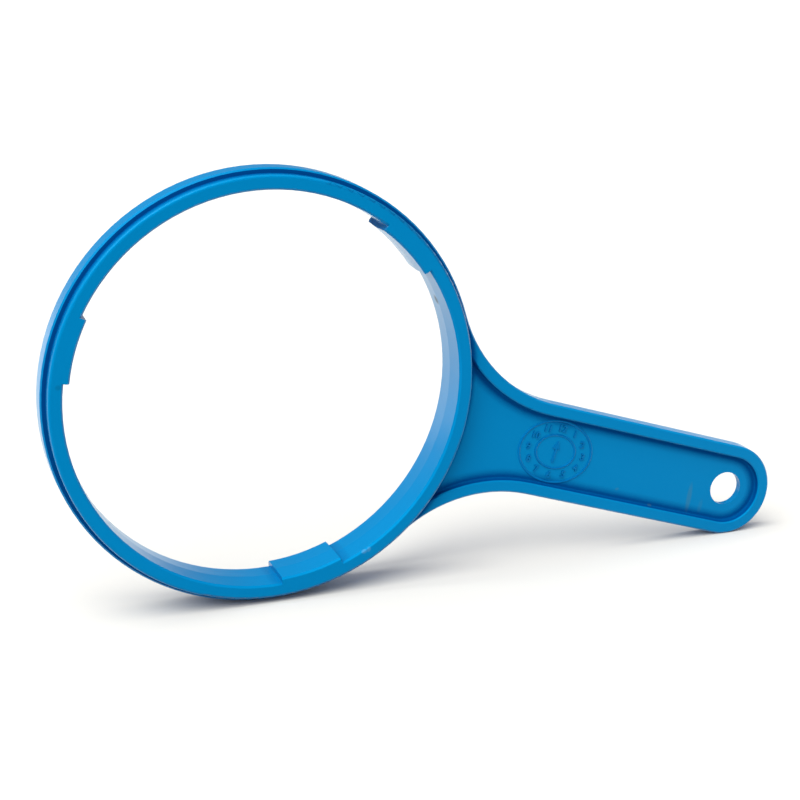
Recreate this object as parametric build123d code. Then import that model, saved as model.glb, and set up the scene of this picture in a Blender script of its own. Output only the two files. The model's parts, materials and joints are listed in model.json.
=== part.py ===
# Housing wrench for 10 inch water filter sumps: a plastic ring with three inner lugs
# that slip between the ribs of the sump, and a flat handle with a hang hole.
# It is one moulding, drawn lying on its back face and then stood on its edge.
import math
import os

from build123d import *

# Ring, in mm. Radii are measured from the ring's own axis.
bore_radius = 60.0          # free radius round the sump, between the lugs
ring_depth = 15.5           # along the ring's axis, face to face
ring_wall = 4.3             # width of the flat ring face
bore_draft = 0.3            # the bore is this much tighter at mid depth, where the mould parts
face_edge = 0.9             # rounding where the ring face meets its outer wall
bore_edge = 0.6             # bevel at the mouths of the bore and on the lugs

# The band is the flat edge that runs round the ring and on into the handle's rim.
band_step = 1.6             # how far it stands out past the ring face
band_depth = 6.4
band_back = 5.4             # from the ring's back face to the back of the band
band_edge = 0.5             # bevel of the band's outer edges

# Lugs that turn the sump
lug_angles = (60.0, 180.0, 300.0)   # from the handle, so one lug is opposite it
lug_span = 18.6             # degrees of arc
lug_height = 1.7            # how far a lug stands into the bore
root = 1.0                  # how far lugs and band reach into the ring's wall, which joins them

# Handle
handle_width = 30.0
handle_reach = 98.1         # from the band to the hang hole, also the centre of the round end
blend_radius = 45.0         # sweep between the ring and the handle
rim_width = 3.8
web_thickness = 2.4
pocket_draft = 4.0          # degrees, on the walls of the pockets
pocket_corner = 0.7         # rounding where a pocket's walls meet its floor
pocket_tip = 1.2            # rounding, in plan, where the rim runs into the ring
rim_edge = 0.4              # bevel of the rim's inner edge
hang_hole = 11.0            # diameter

face_radius = bore_radius + ring_wall
band_radius = face_radius + band_step
hole_distance = band_radius + handle_reach
band_front = band_back + band_depth
band_middle = band_back + band_depth / 2
pocket_depth = (band_depth - web_thickness) / 2
end_radius = handle_width / 2


def outline(inset=0.0):
    """Outline of the ring and the handle, seen along the ring's axis, moved in by inset."""
    ring = band_radius - inset
    half = end_radius - inset
    sweep = blend_radius + inset
    # centre of the sweep that is tangent to the ring and to the side of the handle
    centre_y = half + sweep
    centre_x = math.sqrt((ring + sweep) ** 2 - centre_y ** 2)
    on_ring = Vector(centre_x, centre_y) * (ring / (ring + sweep))
    towards_origin = math.atan2(-centre_y, -centre_x)
    middle = (towards_origin - math.pi / 2) / 2     # half way from on_ring round to the handle
    on_sweep = Vector(centre_x + sweep * math.cos(middle), centre_y + sweep * math.sin(middle))

    def below(point):
        return Vector(point.X, -point.Y)

    side = Vector(centre_x, half)
    end = Vector(hole_distance, half)
    edges = [
        ThreePointArc(on_ring, Vector(-ring, 0), below(on_ring)),
        ThreePointArc(below(on_ring), below(on_sweep), below(side)),
        Line(below(side), below(end)),
        ThreePointArc(below(end), Vector(hole_distance + half, 0), end),
        Line(end, side),
        ThreePointArc(side, on_sweep, on_ring),
    ]
    return make_face(Wire(edges))


def bore_side(radius):
    """Points up an inner wall that is tightest at mid depth and bevelled at both mouths."""
    return [
        (radius + bore_edge, 0),
        (radius, bore_edge),
        (radius - bore_draft, ring_depth / 2),
        (radius, ring_depth - bore_edge),
        (radius + bore_edge, ring_depth),
    ]


def ring_core():
    """The deep inner ring that grips the sump, without its lugs."""
    side = face_radius - face_edge
    section = make_face([
        Polyline((side, 0), *bore_side(bore_radius), (side, ring_depth)),
        RadiusArc((side, ring_depth), (face_radius, ring_depth - face_edge), face_edge),
        Line((face_radius, ring_depth - face_edge), (face_radius, face_edge)),
        RadiusArc((face_radius, face_edge), (side, 0), face_edge),
    ])
    return revolve(Plane.XZ * section, Axis.Z)


def lugs():
    """One lug for each angle, over the full depth, with the same draft as the bore."""
    inside_wall = bore_radius + root
    section = make_face(Polyline(
        *bore_side(bore_radius - lug_height), (inside_wall, ring_depth), (inside_wall, 0), close=True))
    first = revolve(Plane.XZ * section, Axis.Z, lug_span)
    return [Rot(0, 0, angle - lug_span / 2) * first for angle in lug_angles]


def band_and_handle():
    """The flat plate of the band and the handle, before its pockets."""
    plate = Pos(0, 0, band_back) * extrude(outline(), band_depth)
    flat_edges = plate.faces().sort_by(Axis.Z)[0].edges() + plate.faces().sort_by(Axis.Z)[-1].edges()
    plate = chamfer(flat_edges, band_edge)
    return plate - Cylinder(face_radius - root, 4 * ring_depth)


def pocket_plan(inset):
    """Plan of a pocket. It ends inside the ring's wall, which is added later and closes it."""
    plan = outline(inset) - Circle(face_radius - pocket_tip)
    tips = plan.vertices().sort_by(Axis.X)[:2]
    return fillet(tips, pocket_tip)


def pocket():
    """What is taken out of one side of the handle: its floor lies at z = 0."""
    floor = pocket_plan(rim_width + pocket_depth * math.tan(math.radians(pocket_draft)))
    walls = extrude(floor, pocket_depth + rim_edge, taper=-pocket_draft)
    mouth = Pos(0, 0, pocket_depth - rim_edge) * extrude(pocket_plan(rim_width), 3 * rim_edge, taper=-45)
    block = walls + mouth
    return fillet(block.faces().sort_by(Axis.Z)[0].edges(), pocket_corner)


def handle_plate():
    """The band and the handle with a pocket in each side, which leaves a rim round a web."""
    front = Pos(0, 0, band_front - pocket_depth) * pocket()
    back = Pos(0, 0, band_back + pocket_depth) * Rot(180, 0, 0) * pocket()
    hole = Pos(hole_distance, 0, band_middle) * Cylinder(hang_hole / 2, 2 * band_depth)
    return band_and_handle() - front - back - hole


def wrench():
    body = handle_plate() + ring_core()
    for lug in lugs():
        body += lug
    return body


def stand_on_edge(body):
    """Front face to -Y, handle to +X, resting on the ring's band and the handle's end."""
    droop = math.degrees(math.asin((band_radius - end_radius) / hole_distance))
    upright = Rot(90, 0, 0) * (Rot(0, 0, -droop) * body)
    box = upright.bounding_box()
    return Pos(-box.center().X, -box.center().Y, -box.min.Z) * upright


part = stand_on_edge(wrench())
part.label = "wrench"

os.makedirs("parts", exist_ok=True)
export_step(part, "parts/wrench.step")
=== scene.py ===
import json
import math

import bpy
from mathutils import Euler, Matrix, Vector


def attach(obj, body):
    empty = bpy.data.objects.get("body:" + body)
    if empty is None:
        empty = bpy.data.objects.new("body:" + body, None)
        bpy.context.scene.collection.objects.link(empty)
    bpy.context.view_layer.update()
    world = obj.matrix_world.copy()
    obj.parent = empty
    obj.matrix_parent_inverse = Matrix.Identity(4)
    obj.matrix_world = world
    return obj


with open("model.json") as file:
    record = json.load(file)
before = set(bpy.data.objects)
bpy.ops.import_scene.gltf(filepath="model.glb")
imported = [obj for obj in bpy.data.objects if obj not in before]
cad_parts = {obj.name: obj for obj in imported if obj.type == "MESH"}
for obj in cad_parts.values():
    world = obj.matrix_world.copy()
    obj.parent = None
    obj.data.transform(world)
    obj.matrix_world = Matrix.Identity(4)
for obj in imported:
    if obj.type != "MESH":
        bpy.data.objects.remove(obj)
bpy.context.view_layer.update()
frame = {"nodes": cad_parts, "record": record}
print("frame loaded")

mm = 0.001
wrench = frame["nodes"]["wrench"]
mounts = {mount["name"]: mount for mount in frame["record"]["mounts"]}
ringCentre = Vector(mounts["sump_grip"]["pos_m"])
holeCentre = Vector(mounts["hang_hole"]["pos_m"])

# The handle's own directions: along it from the ring to the hole, across it, and out of its front.
along = Vector((holeCentre.x - ringCentre.x, 0, holeCentre.z - ringCentre.z)).normalized()
outward = Vector((0, -1, 0))
across = outward.cross(along)
webThickness = mounts["hang_hole"]["dims"]["length_mm"] * mm


# An sRGB colour such as "#007dbf" as the linear red, green, blue and alpha that Blender takes.
def toLinear(hexColour):
    channels = [int(hexColour[i:i + 2], 16) / 255 for i in (1, 3, 5)]
    return tuple(c / 12.92 if c <= 0.04045 else ((c + 0.055) / 1.055) ** 2.4 for c in channels) + (1,)


# A Mix node has its factor in socket 0. One for colours has them in 6 and 7 and gives output 2, and
# one for plain numbers has them in 2 and 3 and gives output 0.
def addNode(tree, kind, values=None, links=None, **settings):
    node = tree.nodes.new(kind)
    for name, value in settings.items():
        setattr(node, name, value)
    for socket, value in (values or {}).items():
        node.inputs[socket].default_value = value
    for socket, source in (links or {}).items():
        tree.links.new(source, node.inputs[socket])
    return node


# A place on the handle's front floor, by mm from the hang hole along and across the handle.
def onHandle(alongMm, acrossMm):
    floor = holeCentre + outward * webThickness / 2
    return floor + along * alongMm * mm + across * acrossMm * mm


# A place round the ring, by its angle from the horizontal, radius and mm in front of mid depth.
def onRing(degrees, radiusMm, frontMm):
    angle = math.radians(degrees)
    radial = Vector((math.cos(angle), 0, math.sin(angle)))
    return Vector((ringCentre.x, 0, ringCentre.z)) + radial * radiusMm * mm + outward * frontMm * mm


# Small marks of handling: centre, then length, width and reach into the plastic in mm, the turn in
# degrees in the front plane, and the strength.
marks = {
    "scuffs": [
        (onHandle(-12.2, -5.5), 11.5, 2.2, 2.0, 80, 0.24),
        (onHandle(-7.1, -7.5), 5.8, 1.8, 2.0, 75, 0.1),
        (onHandle(-39.0, -7.7), 1.8, 1.1, 2.0, 10, 0.2),
        (onHandle(-25.7, -10.7), 2.0, 1.1, 2.0, -20, 0.24),
    ],
    "specks": [
        (onRing(-61.6, 60.6, 7.6), 2.2, 1.6, 1.8, 20, 0.08),
        (onRing(-60.2, 60.9, 7.6), 2.0, 1.5, 1.8, 60, 0.07),
    ],
    "nicks": [
        (onRing(20.8, 60.0, -1.4), 4.4, 3.6, 4.0, 60, 0.9),
        (onRing(172.2, 61.5, 7.7), 2.2, 2.0, 1.0, 0, 0.3),
    ],
}

plastic = {
    "blue": "#007dbf",
    # the date dial's deeper blue is painted shade on its thin raised lines
    "dialPaintedShadeBlue": "#006fb6",
    # shade is the deeper blue of the painted shade in the corners and pockets
    "shade": "#004a90",
    "shineTint": "#109ad8",
    "scuffGrey": "#527363",
    "speckPale": "#d6e4ea",
    "nickDark": "#0a4f72",
    "shine": 0.5,
    "roughness": 0.3,
    "ior": 1.5,
    "grainSizeMm": 0.45,
    "grainDepthMm": 0.006,
    "grainDetail": 3.0,
    "edgeRadiusMm": 0.15,
    "edgeSamples": 8,
    "cornerReachMm": 3.6,
    "cornerSamples": 12,
    "openWhenShaded": 0.84,
    "openWhenLit": 0.97,
    "boreReachMm": 61.5,
    "boreEdgeShare": 0.01,
    "litInBore": 0.75,
    "blotchSizeMm": 38.0,
    "blotchAmount": 0.04,
    "blotchDetail": 2.0,
    "markFadeShare": 0.5,
}


# One mask for all marks of a kind: at each place the strongest of their soft ovals.
def markMask(tree, coordinates, kindOfMark):
    total = None
    for centre, length, width, reach, turn, strength in marks[kindOfMark]:
        placed = addNode(
            tree, "ShaderNodeMapping", vector_type="TEXTURE",
            values={
                "Location": centre,
                "Rotation": (0, -math.radians(turn), 0),
                "Scale": (length / 2 * mm, reach / 2 * mm, width / 2 * mm),
            },
            links={"Vector": coordinates})
        oval = addNode(
            tree, "ShaderNodeTexGradient", gradient_type="SPHERICAL",
            links={"Vector": placed.outputs["Vector"]})
        soft = addNode(
            tree, "ShaderNodeMapRange",
            values={"From Max": plastic["markFadeShare"], "To Max": strength},
            links={"Value": oval.outputs["Fac"]})
        mask = soft.outputs["Result"]
        if total is not None:
            mask = addNode(
                tree, "ShaderNodeMath", operation="MAXIMUM",
                links={0: total, 1: mask}).outputs["Value"]
        total = mask
    return total


# Moulded polypropylene: one even saturated blue with a satin shine. A small bevel softens every edge,
# so that it catches the light, and the corners of the steps and the pockets get painted shade in a
# deeper blue.
def satinPolypropylene(name, blue):
    material = bpy.data.materials.new(name)
    material.use_nodes = True
    tree = material.node_tree
    shader = tree.nodes["Principled BSDF"]
    coordinates = addNode(tree, "ShaderNodeTexCoord").outputs["Object"]

    # wide, faint changes of tone, as thick and thin walls cool differently in the mould
    blotches = addNode(
        tree, "ShaderNodeTexNoise",
        values={"Scale": 1 / (plastic["blotchSizeMm"] * mm), "Detail": plastic["blotchDetail"]},
        links={"Vector": coordinates}).outputs["Fac"]
    brightness = addNode(
        tree, "ShaderNodeMapRange",
        values={"To Min": 1 - plastic["blotchAmount"], "To Max": 1 + plastic["blotchAmount"]},
        links={"Value": blotches}).outputs["Result"]
    colour = addNode(
        tree, "ShaderNodeHueSaturation", values={"Color": toLinear(blue)},
        links={"Value": brightness}).outputs["Color"]

    # painted shade: the deep corners beside the band and the rim are painted a darker blue, those in
    # the open bore much less
    openness = addNode(
        tree, "ShaderNodeAmbientOcclusion", samples=plastic["cornerSamples"], only_local=True,
        values={"Distance": plastic["cornerReachMm"] * mm}).outputs["AO"]
    lit = addNode(
        tree, "ShaderNodeMapRange",
        values={"From Min": plastic["openWhenShaded"], "From Max": plastic["openWhenLit"]},
        links={"Value": openness}).outputs["Result"]
    # inBore is 0 from boreReachMm outwards and rises towards the ring's axis, at every depth alike
    boreReach = plastic["boreReachMm"] * mm
    fromAxis = addNode(
        tree, "ShaderNodeMapping", vector_type="TEXTURE",
        values={"Location": ringCentre, "Scale": (boreReach, 1, boreReach)},
        links={"Vector": coordinates})
    inBore = addNode(
        tree, "ShaderNodeTexGradient", gradient_type="SPHERICAL",
        links={"Vector": fromAxis.outputs["Vector"]}).outputs["Fac"]
    leastLit = addNode(
        tree, "ShaderNodeMapRange",
        values={"From Max": plastic["boreEdgeShare"], "To Max": plastic["litInBore"]},
        links={"Value": inBore}).outputs["Result"]
    lit = addNode(
        tree, "ShaderNodeMath", operation="MAXIMUM", links={0: lit, 1: leastLit}).outputs["Value"]
    colour = addNode(
        tree, "ShaderNodeMix", data_type="RGBA", values={6: toLinear(plastic["shade"])},
        links={0: lit, 7: colour}).outputs[2]

    # handling marks go over the blue: greyish scuffs, white specks and dark nicks
    masks = {kindOfMark: markMask(tree, coordinates, kindOfMark) for kindOfMark in marks}
    for kindOfMark, tint in (("scuffs", "scuffGrey"), ("specks", "speckPale"), ("nicks", "nickDark")):
        colour = addNode(
            tree, "ShaderNodeMix", data_type="RGBA",
            values={7: toLinear(plastic[tint])}, links={0: masks[kindOfMark], 6: colour}).outputs[2]
    tree.links.new(colour, shader.inputs["Base Color"])

    # the nicks and the shaded corners shine less
    dulledByNicks = addNode(
        tree, "ShaderNodeMapRange",
        values={"To Min": plastic["shine"], "To Max": 0.0},
        links={"Value": masks["nicks"]}).outputs["Result"]
    shine = addNode(
        tree, "ShaderNodeMath", operation="MULTIPLY",
        links={0: dulledByNicks, 1: lit}).outputs["Value"]
    tree.links.new(shine, shader.inputs["Specular IOR Level"])

    # the fine grain of the mould breaks the shine into a soft sheen
    grain = addNode(
        tree, "ShaderNodeTexNoise",
        values={"Scale": 1 / (plastic["grainSizeMm"] * mm), "Detail": plastic["grainDetail"]},
        links={"Vector": coordinates}).outputs["Fac"]
    softEdges = addNode(
        tree, "ShaderNodeBevel", samples=plastic["edgeSamples"],
        values={"Radius": plastic["edgeRadiusMm"] * mm}).outputs["Normal"]
    relief = addNode(
        tree, "ShaderNodeBump",
        values={"Distance": plastic["grainDepthMm"] * mm, "Strength": 1.0},
        links={"Height": grain, "Normal": softEdges}).outputs["Normal"]
    tree.links.new(relief, shader.inputs["Normal"])
    shader.inputs["Roughness"].default_value = plastic["roughness"]
    shader.inputs["IOR"].default_value = plastic["ior"]
    shader.inputs["Specular Tint"].default_value = toLinear(plastic["shineTint"])
    return material


bluePlastic = satinPolypropylene("blue satin polypropylene", plastic["blue"])
for slot in wrench.material_slots:
    slot.material = bluePlastic
print("plastic made")

# Date dial of the mould: two thin raised ovals with plain month numbers between them and an arrow.
dial = {
    "alongMm": -64.6,
    "acrossMm": 0.0,
    "widthMm": 25.4,
    "heightMm": 20.0,
    "innerShare": 0.54,
    "lineMm": 0.9,
    "raisedMm": 0.3,
    "ovalSteps": 96,
    "lineSteps": 10,
    "numberMm": 3.1,
    "boldMm": 0.07,
    "months": 12,
    "arrowLengthMm": 7.0,
    "arrowLineMm": 0.7,
    "arrowHeadMm": 2.6,
}


def ovalLine(share):
    bpy.ops.mesh.primitive_torus_add(
        major_radius=share * dial["widthMm"] / 2 * mm, minor_radius=dial["lineMm"] / 2 * mm,
        major_segments=dial["ovalSteps"], minor_segments=dial["lineSteps"])
    line = bpy.context.object
    line.scale = (1, dial["heightMm"] / dial["widthMm"], dial["raisedMm"] / (dial["lineMm"] / 2))
    return line


def monthNumber(month):
    curve = bpy.data.curves.new("month", "FONT")
    curve.body = str(month)
    curve.size = dial["numberMm"] * mm
    curve.offset = dial["boldMm"] * mm
    curve.align_x = "CENTER"
    curve.align_y = "CENTER"
    curve.extrude = dial["raisedMm"] * mm
    number = bpy.data.objects.new("month", curve)
    bpy.context.collection.objects.link(number)
    angle = math.pi / 2 - month * math.tau / dial["months"]
    share = (1 + dial["innerShare"]) / 2
    number.location = (
        share * dial["widthMm"] / 2 * mm * math.cos(angle),
        share * dial["heightMm"] / 2 * mm * math.sin(angle),
        0,
    )
    return number


def arrow():
    length = dial["arrowLengthMm"] * mm
    width = dial["arrowLineMm"] * mm
    head = dial["arrowHeadMm"] * mm
    height = dial["raisedMm"] * mm
    outlinePoints = [
        (-width / 2, -length / 2), (width / 2, -length / 2), (width / 2, length / 2 - head),
        (head / 2, length / 2 - head), (0, length / 2), (-head / 2, length / 2 - head),
        (-width / 2, length / 2 - head),
    ]
    count = len(outlinePoints)
    vertices = [(x, y, z) for z in (-height, height) for x, y in outlinePoints]
    faces = [tuple(range(count))[::-1], tuple(range(count, 2 * count))]
    faces += [(i, (i + 1) % count, (i + 1) % count + count, i + count) for i in range(count)]
    mesh = bpy.data.meshes.new("arrow")
    mesh.from_pydata(vertices, [], faces)
    pointer = bpy.data.objects.new("arrow", mesh)
    bpy.context.collection.objects.link(pointer)
    return pointer


def dateDial():
    parts = [ovalLine(1.0), ovalLine(dial["innerShare"]), arrow()]
    parts += [monthNumber(month + 1) for month in range(dial["months"])]
    bpy.ops.object.select_all(action="DESELECT")
    for part in parts:
        part.select_set(True)
    bpy.context.view_layer.objects.active = parts[0]
    bpy.ops.object.convert(target="MESH")
    bpy.ops.object.join()
    relief = bpy.context.object
    relief.name = "date_dial"
    turn = Matrix((along, across, outward)).transposed().to_4x4()
    place = Matrix.Translation(onHandle(dial["alongMm"], dial["acrossMm"]))
    relief.data.transform(place @ turn @ relief.matrix_world)
    relief.matrix_world = Matrix.Identity(4)
    relief.data.materials.clear()
    # the relief is painted a deeper blue than the wrench, as painted shade on its thin raised lines
    relief.data.materials.append(satinPolypropylene("relief blue with painted shade", plastic["dialPaintedShadeBlue"]))
    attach(relief, "root")


dateDial()
print("date dial made")

studio = {
    "floorSeen": "#d5d4d9",
    "floorBounce": "#a8a8a8",
    "floorInShine": "#ffffff",
    "floorSize": 8.0,
    "sky": 0.6,
    "skyInShine": 0.03,
    "horizonInShine": 0.4,
    "horizonDegrees": (4.0, 20.0),
    "sun": {
        "from": (-0.463, -0.237, 0.854),
        "strength": 4.2,
        "softnessDegrees": 64.0,
        "colour": "#fffeed",
    },
}


# White paper: white to the camera with the wrench's soft shadow, bright in the shine of the plastic,
# and grey as a light from below.
def whiteFloor():
    material = bpy.data.materials.new("white studio paper")
    material.use_nodes = True
    tree = material.node_tree
    tree.nodes.clear()
    rays = addNode(tree, "ShaderNodeLightPath")
    colour = addNode(
        tree, "ShaderNodeMix", data_type="RGBA",
        values={6: toLinear(studio["floorSeen"]), 7: toLinear(studio["floorBounce"])},
        links={0: rays.outputs["Is Diffuse Ray"]}).outputs[2]
    colour = addNode(
        tree, "ShaderNodeMix", data_type="RGBA",
        values={7: toLinear(studio["floorInShine"])},
        links={0: rays.outputs["Is Glossy Ray"], 6: colour}).outputs[2]
    paper = addNode(tree, "ShaderNodeBsdfDiffuse", links={"Color": colour})
    addNode(tree, "ShaderNodeOutputMaterial", links={"Surface": paper.outputs["BSDF"]})
    bpy.ops.mesh.primitive_plane_add(size=studio["floorSize"])
    floor = bpy.context.object
    floor.name = "floor"
    floor.data.materials.append(material)


# A white tent, plain white to the camera. In the shine of the plastic its upper part is dim, as under
# a dark ceiling, so that only surfaces which mirror the paper or the horizon turn pale.
def whiteWorld():
    world = bpy.data.worlds.new("white studio")
    bpy.context.scene.world = world
    world.use_nodes = True
    tree = world.node_tree
    direction = addNode(tree, "ShaderNodeTexCoord").outputs["Generated"]
    height = addNode(tree, "ShaderNodeSeparateXYZ", links={0: direction}).outputs["Z"]
    shine = addNode(
        tree, "ShaderNodeMapRange", interpolation_type="SMOOTHSTEP",
        values={
            "From Min": math.sin(math.radians(studio["horizonDegrees"][0])),
            "From Max": math.sin(math.radians(studio["horizonDegrees"][1])),
            "To Min": studio["horizonInShine"],
            "To Max": studio["skyInShine"],
        },
        links={"Value": height}).outputs["Result"]
    rays = addNode(tree, "ShaderNodeLightPath")
    lighting = addNode(
        tree, "ShaderNodeMix", data_type="FLOAT", values={2: studio["sky"]},
        links={0: rays.outputs["Is Glossy Ray"], 3: shine}).outputs[0]
    strength = addNode(
        tree, "ShaderNodeMix", data_type="FLOAT", values={3: 1.0},
        links={0: rays.outputs["Is Camera Ray"], 2: lighting}).outputs[0]
    tent = tree.nodes["Background"]
    tent.inputs["Color"].default_value = (1, 1, 1, 1)
    tree.links.new(strength, tent.inputs["Strength"])


# One large soft light from above and the left, even over the whole floor.
def softSun():
    light = bpy.data.lights.new("soft sun", "SUN")
    light.energy = studio["sun"]["strength"]
    light.color = toLinear(studio["sun"]["colour"])[:3]
    light.angle = math.radians(studio["sun"]["softnessDegrees"])
    holder = bpy.data.objects.new("soft sun", light)
    bpy.context.collection.objects.link(holder)
    holder.rotation_euler = Vector(studio["sun"]["from"]).to_track_quat("Z", "Y").to_euler()


whiteFloor()
whiteWorld()
softSun()
print("studio made")

# The photograph's view: a little to the left of the wrench and above it.
view = {
    "placeMm": (-193.5, -519.3, 224.7),
    "turnDegrees": (73.08, 0.443, -19.691),
    "lensMm": 85.229,
    "sensorMm": 36.0,
    "nearestMm": 10.0,
}


def camera():
    data = bpy.data.cameras.new("camera")
    data.lens = view["lensMm"]
    data.sensor_width = view["sensorMm"]
    data.clip_start = view["nearestMm"] * mm
    holder = bpy.data.objects.new("camera", data)
    bpy.context.collection.objects.link(holder)
    holder.location = Vector(view["placeMm"]) * mm
    holder.rotation_euler = Euler([math.radians(turn) for turn in view["turnDegrees"]])
    bpy.context.scene.camera = holder


camera()
bpy.context.scene.view_settings.view_transform = "Standard"

print("scene ready")
